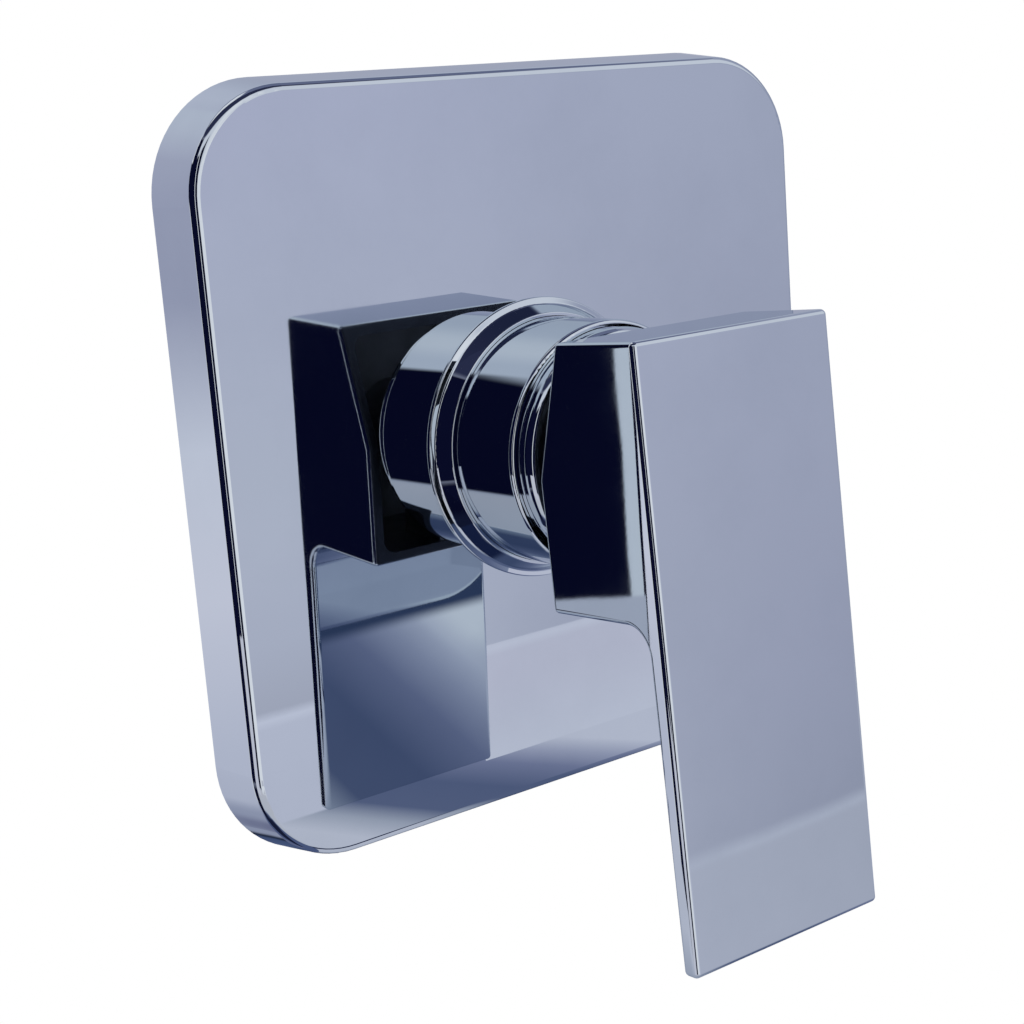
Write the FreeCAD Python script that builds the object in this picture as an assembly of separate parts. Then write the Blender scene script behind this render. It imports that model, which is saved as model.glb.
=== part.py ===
"""Concealed single-lever shower mixer: valve body, cartridge, trim and handle.

Millimetres. +Z is up, +Y runs into the wall, and the user stands on the -Y side. The origin is the
centre of the four fixing holes on the back of the valve body, and the valve axis is the Y axis.
"""
import FreeCAD, Part
import math
import os

Vector = FreeCAD.Vector

# Fits and gaps
press_gap = 0.05        # pieces that stay together, each side
run_fit = 0.05          # a shaft in its hole, on the radius
slide_gap = 0.15        # a sliding piece beside its guide
run_gap = 0.1           # between faces that turn on each other

# How far the handle moves
turn_angle = 45.0       # each way, for temperature
lift_angle = 18.0       # from closed to full flow

# Valve body
hole_pitch = 54.0       # between fixing holes, both ways
hole_radius = 3.0
hole_margin = 7.0       # from a fixing hole's centre to the foot's edge
flange_thickness = 4.0
flange_corner = 8.0
port_height = 20.0      # from the back to the pipes' axes
pipe_reach = 38.0       # from the valve axis to each pipe face
pipe_radius = 14.0      # outside of a pipe socket
pipe_chamfer = 1.2
thread_radius = 9.3     # minor radius of a G1/2 thread
thread_length = 14.0
passage_radius = 6.0    # waterway behind the thread
floor_wall = 12.0       # from the waterway to the cartridge's seat
boss_wall = 5.9         # round the cartridge
boss_lip = 4.0          # the boss stands this far in front of the seat
neck_wall = 2.05        # round the nut's thread
o_ring_section = 1.7
o_ring_spread = 7.0     # between the two O-rings

# Cartridge
cartridge_radius = 20.0
base_thickness = 5.5
port_circle = 9.0       # radius on which the three ports lie
port_radius = 3.6
inlet_angle = -25.0     # of the cold port, the hot one mirrors it
seal_thickness = 1.0
seal_width = 1.4
seal_gap = 0.4          # from the port's edge to its seal
peg_radius = 1.2
peg_height = 2.0
base_peg_circle = 14.0
base_peg_angle = 30.0   # above the horizontal, on both sides
fixed_disc_thickness = 3.5
moving_disc_thickness = 3.0
mix_recess_depth = 1.8
mix_recess_radius = 6.4
disc_margin = 1.0       # left round the moving disc at full travel
carrier_thickness = 5.5
carrier_peg_spread = 16.0
housing_wall = 3.0
shoulder_wall = 3.0
housing_step = 3.6      # the housing's neck is this much smaller
housing_neck = 13.5
journal_wall = 4.4      # housing wall round the turning core
guide_gap = 0.3         # between the carrier and the turning core
guide_flange = 3.0
lug_margin = 3.2        # from the core's rim to the lug
lug_wall = 3.3
lug_height = 4.3
lug_length = 16.0
limit_thickness = 2.0
limit_rim = 1.4         # left outside the stop notch
tab_half_angle = 12.0
stop_slack = 1.5        # degrees left at each stop

# Nut
nut_step = 1.3          # thread outside the cartridge's radius
nut_thread = 7.0
nut_lift = 0.3          # under the nut's flange
nut_flange = 8.0
nut_slots = 4
nut_slot_width = 5.0
nut_slot_depth = 3.0

# Stem
stem_size = 10.0        # square
hub_gap = 0.7
pin_radius = 1.5
finger_radius = 1.4
ball_radius = 2.2
ball_dip = 2.3          # ball centre under the carrier's face
ball_gap = 0.3          # under the ball
socket_depth = 17.0
socket_end_gap = 0.3

# Sleeve and cap
sleeve_slip = 0.2
sleeve_wall = 1.2
sleeve_reach = 22.0     # in front of the plate
sleeve_edge = 0.8
dome_slip = 0.1
dome_wall = 1.45
dome_front = 1.5
dome_room = 10.4        # inside, in front of the nut
dome_reach = 4.3        # in front of the sleeve
dome_edge = 2.0
dome_opening_gap = 0.8

# Cover plate and foot ring
plate_size = 150.0      # at the wall
plate_depth = 12.5
plate_draft = 1.8       # each side leans in by this
plate_corner = 22.0     # at the wall
plate_wall = 2.0
plate_edge = 1.6
ring_slip = 0.08
ring_spigot = 1.2
ring_width = 3.7        # beyond the sleeve
ring_height = 3.9
ring_flange = 0.45      # height of the flange's edge
ring_slope = 0.3        # the flange rises by this up to the cone
ring_foot = 2.4         # foot of the cone, beyond the sleeve
ring_rim = 0.7          # lip of the cone, beyond the sleeve
ring_edge = 0.3         # rounding of the flange and the lip
ring_cove = 0.6         # hollow rounding where the cone meets the flange
grip_width = 5.0
grip_height = 4.0
gasket_width = 6.0
gasket_depth = 3.0

# Handle
handle_width = 47.6
handle_length = 115.0
handle_lean = 3.4       # degrees, the tip stands further out
handle_rise = 25.4      # top front edge above the valve axis
top_depth = 21.8
block_depth = 30.4
block_length = 50.6     # down the back
back_break = 25.2       # where the upper back starts to slope away
lever_root = 4.2
lever_tip = 3.6
lever_fillet = 5.5
handle_edge = 1.1
handle_gap = 2.4        # between the cap and the handle
handle_wall = 2.4       # sides, top and bottom of the hollow block
handle_front = 3.6      # the hollow's floor behind the front face
hollow_corner = 3.0
socket_boss = 9.0       # round the stem's socket
pillar_wall = 2.0       # round the index plug
grub_radius = 3.0
grub_length = 9.0
grub_hex = 1.5          # half the key's width across flats
grub_hex_depth = 4.0
plug_radius = 4.5
plug_height = 3.0

# Radii that follow from the cartridge
chamber_radius = cartridge_radius + slide_gap
cavity_radius = cartridge_radius - housing_wall
housing_neck_radius = cartridge_radius - housing_step
journal_bore = housing_neck_radius - journal_wall
journal_radius = journal_bore - run_fit
core_rim = cavity_radius - 2 * slide_gap
lug_outside = core_rim - lug_margin
lug_inside = lug_outside - lug_wall
nut_thread_radius = cartridge_radius + nut_step
neck_bore = nut_thread_radius + press_gap
neck_radius = neck_bore + neck_wall
sleeve_bore = neck_radius + sleeve_slip
sleeve_radius = sleeve_bore + sleeve_wall
dome_radius = sleeve_bore - dome_slip
nut_radius = dome_radius - dome_wall - press_gap
boss_radius = chamber_radius + boss_wall
spigot_radius = sleeve_radius + ring_slip + ring_spigot
ring_radius = sleeve_radius + ring_width

# Stations along the valve axis, from the back of the body to the handle
port_y = -port_height
floor_y = port_y - passage_radius - floor_wall
boss_y = floor_y - boss_lip
base_y = floor_y - base_thickness
fixed_y = base_y - fixed_disc_thickness
moving_y = fixed_y - moving_disc_thickness
carrier_y = moving_y - carrier_thickness
guide_back_y = carrier_y - guide_gap
guide_flange_y = guide_back_y - guide_flange
shoulder_inside_y = guide_flange_y - run_gap
shoulder_y = shoulder_inside_y - shoulder_wall
housing_y = shoulder_y - housing_neck
limit_y = housing_y - limit_thickness
pivot_y = guide_flange_y - hub_gap - stem_size / 2
ball_y = carrier_y + ball_dip
nut_thread_y = shoulder_y - nut_thread
neck_y = nut_thread_y + nut_lift
nut_y = nut_thread_y - nut_flange
dome_inside_y = nut_y - dome_room
dome_y = dome_inside_y - dome_front
sleeve_y = dome_y + dome_reach
plate_y = sleeve_y + sleeve_reach
wall_y = plate_y + plate_depth
kink_y = dome_y - handle_gap
stem_y = kink_y - socket_depth

# What the stem's swing needs
lift = math.radians(lift_angle)
finger_length = ball_y - pivot_y
disc_travel = finger_length * lift
moving_disc_radius = cavity_radius - disc_travel - disc_margin


def swing(half_width, distance):
    """Reach of a lifted bar's edge from the valve axis, at a distance from the pivot."""
    return half_width / math.cos(lift) + distance * math.tan(lift)


def rod(radius, y0, y1, x=0.0, z=0.0):
    """Round bar along Y."""
    return Part.makeCylinder(radius, abs(y1 - y0), Vector(x, min(y0, y1), z), Vector(0, 1, 0))


def ring(inside, outside, y0, y1, x=0.0, z=0.0):
    """Flat-ended ring about an axis along Y."""
    return rod(outside, y0, y1, x, z).cut(rod(inside, y0, y1, x, z))


def box(x0, x1, y0, y1, z0, z1):
    """Block between two corners."""
    corner = Vector(min(x0, x1), min(y0, y1), min(z0, z1))
    return Part.makeBox(abs(x1 - x0), abs(y1 - y0), abs(z1 - z0), corner)


def sector(inside, outside, y0, y1, middle, half):
    """Part of a ring, from middle - half to middle + half degrees, counted from +X to +Z."""
    start = math.radians(middle - half)
    corners = [(inside, y0), (outside, y0), (outside, y1), (inside, y1), (inside, y0)]
    points = [Vector(r * math.cos(start), y, r * math.sin(start)) for r, y in corners]
    return Part.Face(Part.makePolygon(points)).revolve(Vector(0, 0, 0), Vector(0, -1, 0), 2 * half)


def rounded_square(size, corner, y):
    """Closed outline of a square with round corners, square to the Y axis."""
    straight = size / 2 - corner
    edges = []
    for quarter in range(4):
        angle = math.radians(90 * quarter)
        out = Vector(math.cos(angle), 0, math.sin(angle))
        along = Vector(-math.sin(angle), 0, math.cos(angle))
        level = Vector(0, y, 0)
        first = level + out * (size / 2) - along * straight
        second = level + out * (size / 2) + along * straight
        third = level + out * straight + along * (size / 2)
        middle = level + (out + along) * (straight + corner * math.sqrt(0.5))
        edges.append(Part.makeLine(first, second))
        edges.append(Part.Arc(second, middle, third).toShape())
    return Part.Wire(edges)


def square_slab(size, corner, y0, y1):
    """Straight-sided slab with round corners."""
    return Part.Face(rounded_square(size, corner, y0)).extrude(Vector(0, y1 - y0, 0))


def edges_at(shape, y, radius=None):
    """Edges that lie in the plane at y, only the circles of one radius if it is given."""
    found = []
    for edge in shape.Edges:
        bounds = edge.BoundBox
        if abs(bounds.YMin - y) > 0.001 or abs(bounds.YMax - y) > 0.001:
            continue
        if radius is None or abs(bounds.XMax - radius) < 0.001:
            found.append(edge)
    return found


def port_places():
    """Centres of the hot, cold and outlet ports, as (x, z)."""
    low = math.radians(inlet_angle)
    inlet_x = port_circle * math.cos(low)
    inlet_z = port_circle * math.sin(low)
    return [(-inlet_x, inlet_z), (inlet_x, inlet_z), (0.0, port_circle)]


def base_peg_places():
    """Centres of the cartridge base's locating pegs, as (x, z)."""
    angle = math.radians(base_peg_angle)
    x = base_peg_circle * math.cos(angle)
    z = base_peg_circle * math.sin(angle)
    return [(-x, z), (x, z)]


def pipe_socket(direction):
    """Round socket from the valve axis outwards, with a chamfered mouth."""
    start = Vector(0, port_y, 0)
    straight = pipe_reach - pipe_chamfer
    tube = Part.makeCylinder(pipe_radius, straight, start, direction)
    mouth_radius = pipe_radius - pipe_chamfer
    mouth = Part.makeCone(pipe_radius, mouth_radius, pipe_chamfer, start + direction * straight, direction)
    return tube.fuse(mouth)


def valve_body():
    """Brass casting: square foot, boss, two inlets, an outlet on top and the cartridge's neck."""
    foot_size = hole_pitch + 2 * hole_margin
    foot = square_slab(foot_size, flange_corner, 0, -flange_thickness)
    body = foot.fuse(rod(boss_radius, 0, boss_y))
    body = body.fuse(rod(neck_radius, boss_y, neck_y))
    left = Vector(-1, 0, 0)
    right = Vector(1, 0, 0)
    upward = Vector(0, 0, 1)
    for direction in (left, right, upward):
        body = body.fuse(pipe_socket(direction))
    (hot_x, _), (cold_x, _), (_, outlet_z) = port_places()
    for direction, inner in ((left, -hot_x), (right, cold_x), (upward, outlet_z)):
        face = Vector(0, port_y, 0) + direction * pipe_reach
        body = body.cut(Part.makeCylinder(thread_radius, thread_length, face, -direction))
        body = body.cut(Part.makeCylinder(passage_radius, pipe_reach - inner, face, -direction))
    for x, z in port_places():
        body = body.cut(rod(port_radius, port_y, floor_y, x, z))
    for x, z in base_peg_places():
        body = body.cut(rod(peg_radius + press_gap, floor_y, floor_y + peg_height + press_gap, x, z))
    body = body.cut(rod(chamber_radius, floor_y, neck_y))
    body = body.cut(rod(neck_bore, shoulder_y, neck_y))
    for y in o_ring_places():
        half = o_ring_section / 2 + press_gap
        body = body.cut(ring(groove_radius(), neck_radius + sleeve_slip, y - half, y + half))
    for x in (-hole_pitch / 2, hole_pitch / 2):
        for z in (-hole_pitch / 2, hole_pitch / 2):
            body = body.cut(rod(hole_radius, 0, -flange_thickness, x, z))
    return body.removeSplitter()


def groove_radius():
    """Bottom of the O-ring grooves on the neck."""
    return sleeve_bore - o_ring_section - 2 * press_gap


def o_ring_places():
    """Y of the two O-rings, either side of the middle of the neck behind the nut's thread."""
    middle = (boss_y + shoulder_y) / 2
    return [middle - o_ring_spread / 2, middle + o_ring_spread / 2]


def sleeve_o_rings():
    """Two rubber O-rings between the neck and the sleeve."""
    radius = groove_radius() + press_gap + o_ring_section / 2
    centres = [Vector(0, y, 0) for y in o_ring_places()]
    rings = [Part.makeTorus(radius, o_ring_section / 2, centre, Vector(0, 1, 0)) for centre in centres]
    return Part.makeCompound(rings)


def port_seals(y0, y1):
    """A rubber ring round each of the three ports."""
    inside = port_radius + seal_gap
    rings = [ring(inside, inside + seal_width, y0, y1, x, z) for x, z in port_places()]
    return Part.makeCompound(rings)


def base_seals():
    return port_seals(floor_y, floor_y - seal_thickness)


def disc_seals():
    return port_seals(base_y, base_y + seal_thickness)


def cartridge_base():
    """Plastic floor of the cartridge, with ports, seal seats and locating pegs on both faces."""
    base = rod(cartridge_radius, floor_y, base_y)
    seat_radius = port_radius + seal_gap + seal_width + press_gap
    for x, z in port_places():
        base = base.cut(rod(port_radius, floor_y, base_y, x, z))
        base = base.cut(rod(seat_radius, floor_y, floor_y - seal_thickness, x, z))
        base = base.cut(rod(seat_radius, base_y, base_y + seal_thickness, x, z))
    for x, z in base_peg_places():
        base = base.fuse(rod(peg_radius, floor_y + peg_height, base_y - peg_height, x, z))
    return base.removeSplitter()


def fixed_disc():
    """Ceramic disc with the three ports, keyed on the base's pegs."""
    disc = rod(cavity_radius - slide_gap, base_y, fixed_y)
    for x, z in port_places():
        disc = disc.cut(rod(port_radius, base_y, fixed_y, x, z))
    for x, z in base_peg_places():
        disc = disc.cut(rod(peg_radius + press_gap, base_y, base_y - peg_height - press_gap, x, z))
    return disc


def carrier_peg_places():
    """X of the two pegs that drive the moving disc."""
    return [-carrier_peg_spread / 2, carrier_peg_spread / 2]


def moving_disc():
    """Ceramic disc with the mixing recess in its back and holes for the carrier's pegs."""
    disc = rod(moving_disc_radius, fixed_y, moving_y)
    recess_z = port_circle - mix_recess_radius + port_radius
    disc = disc.cut(rod(mix_recess_radius, fixed_y, fixed_y - mix_recess_depth, 0, recess_z))
    for x in carrier_peg_places():
        disc = disc.cut(rod(peg_radius + press_gap, moving_y, moving_y + peg_height + press_gap, x))
    return disc


def disc_carrier():
    """Plastic slider between the core's lugs, with a pocket for the stem's ball."""
    carrier = rod(moving_disc_radius, moving_y, carrier_y)
    flat = lug_inside - slide_gap
    carrier = carrier.common(box(-flat, flat, moving_y, carrier_y, -cavity_radius, cavity_radius))
    pocket = ball_radius + slide_gap
    pocket_y = ball_y + ball_radius + ball_gap
    carrier = carrier.cut(box(-pocket, pocket, carrier_y, pocket_y, -pocket, pocket))
    for x in carrier_peg_places():
        carrier = carrier.fuse(rod(peg_radius, moving_y, moving_y + peg_height, x))
    return carrier.removeSplitter()


def stem_guide():
    """Turning core: flange, two lugs over the carrier, a slotted journal and a stop tab."""
    guide = rod(core_rim, guide_back_y, guide_flange_y)
    guide = guide.fuse(rod(journal_radius, guide_flange_y, limit_y))
    for side in (-1, 1):
        lug = box(side * lug_inside, side * lug_outside, guide_flange_y, guide_back_y + lug_height,
                  -lug_length / 2, lug_length / 2)
        guide = guide.fuse(lug)
    tab_outside = housing_neck_radius - limit_rim - slide_gap
    tab_back_y = housing_y - run_gap
    tab = sector(journal_radius - journal_wall, tab_outside, tab_back_y, limit_y, -90, tab_half_angle)
    guide = guide.fuse(tab)
    half = stem_size / 2 + slide_gap
    top = swing(stem_size / 2, pivot_y - limit_y) + 2 * slide_gap
    guide = guide.cut(box(-half, half, guide_flange_y, limit_y, -half, top))
    finger_half = finger_radius + 2 * slide_gap
    finger_low = swing(finger_radius, guide_back_y - pivot_y) + 2 * slide_gap
    guide = guide.cut(box(-finger_half, finger_half, guide_back_y, guide_flange_y, -finger_low, finger_half))
    hole_start = Vector(-core_rim, pivot_y, 0)
    guide = guide.cut(Part.makeCylinder(pin_radius + press_gap, 2 * core_rim, hole_start, Vector(1, 0, 0)))
    return guide.removeSplitter()


def pivot_pin():
    """Steel cross pin, flush inside the journal."""
    reach = math.sqrt(journal_radius ** 2 - pin_radius ** 2) - slide_gap
    return Part.makeCylinder(pin_radius, 2 * reach, Vector(-reach, pivot_y, 0), Vector(1, 0, 0))


def cartridge_housing():
    """Stepped plastic shell that holds the discs and the turning core."""
    shell = rod(cartridge_radius, base_y, shoulder_y)
    shell = shell.fuse(rod(housing_neck_radius, shoulder_y, housing_y))
    shell = shell.cut(rod(cavity_radius, base_y, shoulder_inside_y))
    shell = shell.cut(rod(journal_bore, shoulder_inside_y, housing_y))
    return shell.removeSplitter()


def limit_ring():
    """Stop ring on the housing, with a notch in which the core's tab turns."""
    stop = ring(journal_bore + slide_gap, housing_neck_radius, housing_y, limit_y)
    reach = turn_angle + tab_half_angle + stop_slack
    notch_outside = housing_neck_radius - limit_rim
    return stop.cut(sector(journal_radius - journal_wall, notch_outside, housing_y, limit_y, -90, reach))


def cartridge_nut():
    """Brass ring nut with tool slots in its front face."""
    bore = housing_neck_radius + slide_gap
    nut = rod(nut_thread_radius, shoulder_y, nut_thread_y)
    nut = nut.fuse(rod(nut_radius, nut_thread_y, nut_y))
    nut = nut.cut(rod(bore, shoulder_y, nut_y))
    for slot in range(nut_slots):
        half = nut_slot_width / 2
        cutter = box(0, nut_radius, nut_y, nut_y + nut_slot_depth, -half, half)
        cutter.rotate(Vector(0, 0, 0), Vector(0, 1, 0), 360.0 * slot / nut_slots)
        nut = nut.cut(cutter)
    return nut.removeSplitter()


def sleeve():
    """Chrome tube over the neck, with a rounded front edge."""
    tube = ring(sleeve_bore, sleeve_radius, boss_y - run_gap, sleeve_y)
    edge = min(sleeve_edge, 0.8 * sleeve_wall)
    return tube.makeFillet(edge, edges_at(tube, sleeve_y, sleeve_radius))


def dome_cap():
    """Chrome cap screwed on the nut, with a round opening for the stem's swing."""
    opening_top = swing(stem_size / 2, pivot_y - dome_y)
    opening = math.hypot(stem_size / 2, opening_top) + dome_opening_gap
    cap = rod(dome_radius, nut_thread_y - run_gap, dome_y)
    cap = cap.makeFillet(dome_edge, edges_at(cap, dome_y, dome_radius))
    cap = cap.cut(rod(nut_radius + press_gap, nut_thread_y - run_gap, dome_inside_y))
    return cap.cut(rod(opening, dome_inside_y, dome_y))


def plate_inset(y):
    """How far each side of the drafted plate has leaned in at y."""
    return plate_draft * (wall_y - y) / plate_depth


def plate_block(inset, y0, y1):
    """Drafted block whose outline lies inside the plate's by the inset."""
    outlines = []
    for y in (y0, y1):
        lean = plate_inset(y) + inset
        outlines.append(rounded_square(plate_size - 2 * lean, plate_corner - lean, y))
    return Part.makeLoft(outlines, True, True)


def cover_plate():
    """Hollow chrome plate with drafted sides, a rounded front edge and a round hole."""
    plate = plate_block(0.0, wall_y, plate_y)
    edge = min(plate_edge, 0.8 * plate_wall)
    plate = plate.makeFillet(edge, edges_at(plate, plate_y))
    plate = plate.cut(plate_block(plate_wall, wall_y, plate_y + plate_wall))
    return plate.cut(rod(spigot_radius + press_gap, plate_y, plate_y + plate_wall))


def plate_gasket():
    """Foam strip inside the plate's rim, level with it at the wall."""
    inset = plate_inset(wall_y - gasket_depth) + plate_wall + press_gap
    size = plate_size - 2 * inset
    corner = plate_corner - inset
    strip = square_slab(size, corner, wall_y, wall_y - gasket_depth)
    hole_corner = max(corner - gasket_width, gasket_width)
    return strip.cut(square_slab(size - 2 * gasket_width, hole_corner, wall_y, wall_y - gasket_depth))


def grip_ring():
    """Rubber ring behind the plate that grips the sleeve."""
    inside = sleeve_radius + press_gap
    back_y = plate_y + plate_wall
    return ring(inside, inside + grip_width, back_y, back_y + grip_height)


def trim_ring():
    """Chrome foot ring: a low flange on the plate, a steep cone up to the sleeve and a spigot in the plate's hole."""
    front_y = plate_y - ring_height
    edge_y = plate_y - ring_flange
    foot_y = edge_y - ring_slope
    bore = sleeve_radius + ring_slip
    foot_radius = sleeve_radius + ring_foot
    lip = sleeve_radius + ring_rim
    corners = [(bore, plate_y), (ring_radius, plate_y), (ring_radius, edge_y), (foot_radius, foot_y), (lip, front_y),
               (bore, front_y), (bore, plate_y)]
    outline = Part.makePolygon([Vector(r, y, 0) for r, y in corners])
    foot = Part.Face(outline).revolve(Vector(0, 0, 0), Vector(0, 1, 0), 360)
    foot = foot.makeFillet(ring_edge, edges_at(foot, front_y, lip) + edges_at(foot, edge_y, ring_radius))
    foot = foot.makeFillet(ring_cove, edges_at(foot, foot_y, foot_radius))
    return foot.fuse(ring(bore, spigot_radius, plate_y, plate_y + plate_wall)).removeSplitter()


def stem():
    """Square spindle with a round hub on the pin and a ball-ended finger."""
    half = stem_size / 2
    spindle = box(-half, half, stem_y, pivot_y, -half, half)
    across = Vector(1, 0, 0)
    spindle = spindle.fuse(Part.makeCylinder(half, stem_size, Vector(-half, pivot_y, 0), across))
    spindle = spindle.fuse(rod(finger_radius, pivot_y, ball_y))
    spindle = spindle.fuse(Part.makeSphere(ball_radius, Vector(0, ball_y, 0)))
    pin_hole = Part.makeCylinder(pin_radius + run_fit, stem_size, Vector(-half, pivot_y, 0), across)
    return spindle.cut(pin_hole).removeSplitter()


def handle_point(down, deep):
    """Point of the handle's side view: distance down the front face and depth behind it."""
    lean = math.radians(handle_lean)
    front_y = kink_y + back_break * math.sin(lean) - block_depth * math.cos(lean)
    y = front_y - down * math.sin(lean) + deep * math.cos(lean)
    z = handle_rise - down * math.cos(lean) - deep * math.sin(lean)
    return Vector(-handle_width / 2, y, z)


def grub_y():
    """The grub screw stands at the middle of the stem's socket."""
    return kink_y - socket_depth / 2


def block_bottom_z():
    """Height of the block's underside at the grub screw."""
    low = handle_point(block_length, block_depth)
    lean = math.radians(handle_lean)
    return low.z + (low.y - grub_y()) * math.tan(lean)


def plug_top_z():
    """Inner end of the index plug."""
    return block_bottom_z() + plug_height


def hollow():
    """Space inside the block, open at the back, with round corners."""
    low = block_length - handle_wall
    far = block_depth + handle_wall
    corners = [(handle_wall, handle_front), (handle_wall, far), (low, far), (low, handle_front),
               (handle_wall, handle_front)]
    points = [handle_point(down, deep) + Vector(handle_wall, 0, 0) for down, deep in corners]
    space = Part.Face(Part.makePolygon(points)).extrude(Vector(handle_width - 2 * handle_wall, 0, 0))
    inward = [edge for edge in space.Edges if abs(edge.Length - far + handle_front) < 0.001]
    return space.makeFillet(hollow_corner, inward)


def handle():
    """Hollow block and lever in one casting, with the stem's socket and the grub screw's pillar."""
    corners = [(0, 0), (0, top_depth), (back_break, block_depth), (block_length, block_depth),
               (block_length, lever_root), (handle_length, lever_tip), (handle_length, 0), (0, 0)]
    outline = Part.makePolygon([handle_point(down, deep) for down, deep in corners])
    solid = Part.Face(outline).extrude(Vector(handle_width, 0, 0))
    inner = handle_point(block_length, lever_root)
    root_edges = [edge for edge in solid.Edges
                  if all(abs(v.Y - inner.y) < 0.001 and abs(v.Z - inner.z) < 0.001 for v in edge.Vertexes)]
    solid = solid.makeFillet(lever_fillet, root_edges)
    smooth = [handle_point(block_length, lever_root + lever_fillet),
              handle_point(block_length + lever_fillet, lever_root)]
    sharp = [edge for edge in solid.Edges if not runs_across_near(edge, smooth)]
    solid = solid.makeFillet(min(handle_edge, 0.3 * lever_tip), sharp)
    low_z = block_bottom_z() - block_depth
    half = plug_radius + pillar_wall
    boss = rod(socket_boss, kink_y, kink_y - block_depth)
    pillar = box(-half, half, grub_y() - half, grub_y() + half, low_z, 0)
    inside = boss.fuse(pillar).common(solid)
    solid = solid.cut(hollow()).fuse(inside).removeSplitter()
    half = stem_size / 2 + press_gap
    solid = solid.cut(box(-half, half, kink_y, stem_y - socket_end_gap, -half, half))
    screw_hole = Part.makeCylinder(grub_radius + press_gap, -low_z, Vector(0, grub_y(), low_z))
    solid = solid.cut(screw_hole)
    plug_hole = Part.makeCylinder(plug_radius + press_gap, plug_top_z() - low_z, Vector(0, grub_y(), low_z))
    return solid.cut(plug_hole)


def runs_across_near(edge, points):
    """True for an edge along X that passes within a millimetre of one of the points."""
    first = edge.Vertexes[0].Point
    last = edge.Vertexes[-1].Point
    if abs(first.y - last.y) > 0.001 or abs(first.z - last.z) > 0.001:
        return False
    return any(math.hypot(first.y - p.y, first.z - p.z) < 1.0 for p in points)


def grub_screw():
    """Hexagon-socket grub screw that bears on the stem from below."""
    top = -stem_size / 2
    base = Vector(0, grub_y(), top - grub_length)
    screw = Part.makeCylinder(grub_radius, grub_length, base)
    corner = grub_hex / math.cos(math.radians(30))
    points = []
    for side in range(7):
        angle = math.radians(60 * side)
        points.append(base + Vector(corner * math.cos(angle), corner * math.sin(angle), 0))
    key = Part.Face(Part.makePolygon(points)).extrude(Vector(0, 0, grub_hex_depth))
    return screw.cut(key)


def index_plug():
    """Round plug over the grub screw's hole."""
    bottom = Vector(0, grub_y(), plug_top_z() - plug_height)
    return Part.makeCylinder(plug_radius, plug_height, bottom)


pieces = {
    "valve_body": valve_body,
    "base_seals": base_seals,
    "cartridge_base": cartridge_base,
    "disc_seals": disc_seals,
    "fixed_disc": fixed_disc,
    "moving_disc": moving_disc,
    "disc_carrier": disc_carrier,
    "stem_guide": stem_guide,
    "pivot_pin": pivot_pin,
    "cartridge_housing": cartridge_housing,
    "limit_ring": limit_ring,
    "cartridge_nut": cartridge_nut,
    "sleeve_o_rings": sleeve_o_rings,
    "sleeve": sleeve,
    "dome_cap": dome_cap,
    "grip_ring": grip_ring,
    "plate_gasket": plate_gasket,
    "cover_plate": cover_plate,
    "trim_ring": trim_ring,
    "stem": stem,
    "handle": handle,
    "grub_screw": grub_screw,
    "index_plug": index_plug,
}

os.makedirs("parts", exist_ok=True)
for name, make in pieces.items():
    shape = make()
    shape.exportStep("parts/" + name + ".step")
    volume = shape.Volume / 1000
    print(f"{name}: solids {len(shape.Solids)}, valid {shape.isValid()}, {volume:.2f} cm3")
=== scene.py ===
import math
import bpy
import numpy as np
from mathutils import Matrix


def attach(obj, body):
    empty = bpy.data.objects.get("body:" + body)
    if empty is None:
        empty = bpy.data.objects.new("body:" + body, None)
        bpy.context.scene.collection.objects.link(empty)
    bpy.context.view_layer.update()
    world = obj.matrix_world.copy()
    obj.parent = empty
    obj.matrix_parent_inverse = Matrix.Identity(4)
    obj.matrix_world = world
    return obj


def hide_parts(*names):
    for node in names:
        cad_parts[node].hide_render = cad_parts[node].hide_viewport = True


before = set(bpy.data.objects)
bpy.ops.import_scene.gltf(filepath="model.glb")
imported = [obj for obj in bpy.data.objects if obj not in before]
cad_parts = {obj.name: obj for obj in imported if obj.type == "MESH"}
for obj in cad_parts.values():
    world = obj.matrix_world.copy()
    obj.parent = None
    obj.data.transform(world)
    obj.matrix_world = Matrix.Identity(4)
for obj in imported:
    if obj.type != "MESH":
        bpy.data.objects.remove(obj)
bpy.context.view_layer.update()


# Valve body: a sand-cast brass block with a square foot, two inlets and an outlet on top. The pipe
# faces with their threads, the back and the neck for the cartridge are machined bright, the rest keeps
# the mould's grain. Four screws through the foot hold it in the wall.
def add(tree, kind, inputs=(), **settings):
    """One shader node: settings are its properties, inputs maps sockets to values or to outputs."""
    made = tree.nodes.new("ShaderNode" + kind)
    for key, value in settings.items():
        setattr(made, key, value)
    for key, value in dict(inputs).items():
        if isinstance(value, bpy.types.NodeSocket):
            tree.links.new(value, made.inputs[key])
        else:
            made.inputs[key].default_value = value
    return made


def reckon(tree, operation, *values):
    """Result of a Math node on one to three values or outputs."""
    return add(tree, "Math", enumerate(values), operation=operation).outputs[0]


def flat_length(tree, first, second):
    """Length of a vector that has two parts."""
    vector = add(tree, "CombineXYZ", {"X": first, "Y": second})
    return add(tree, "VectorMath", {0: vector.outputs[0]}, operation="LENGTH").outputs["Value"]


def own_axes(tree):
    """X, Y and Z of the piece's own coordinates."""
    place = add(tree, "SeparateXYZ", {0: add(tree, "TexCoord").outputs["Object"]})
    return place.outputs["X"], place.outputs["Y"], place.outputs["Z"]


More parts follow.
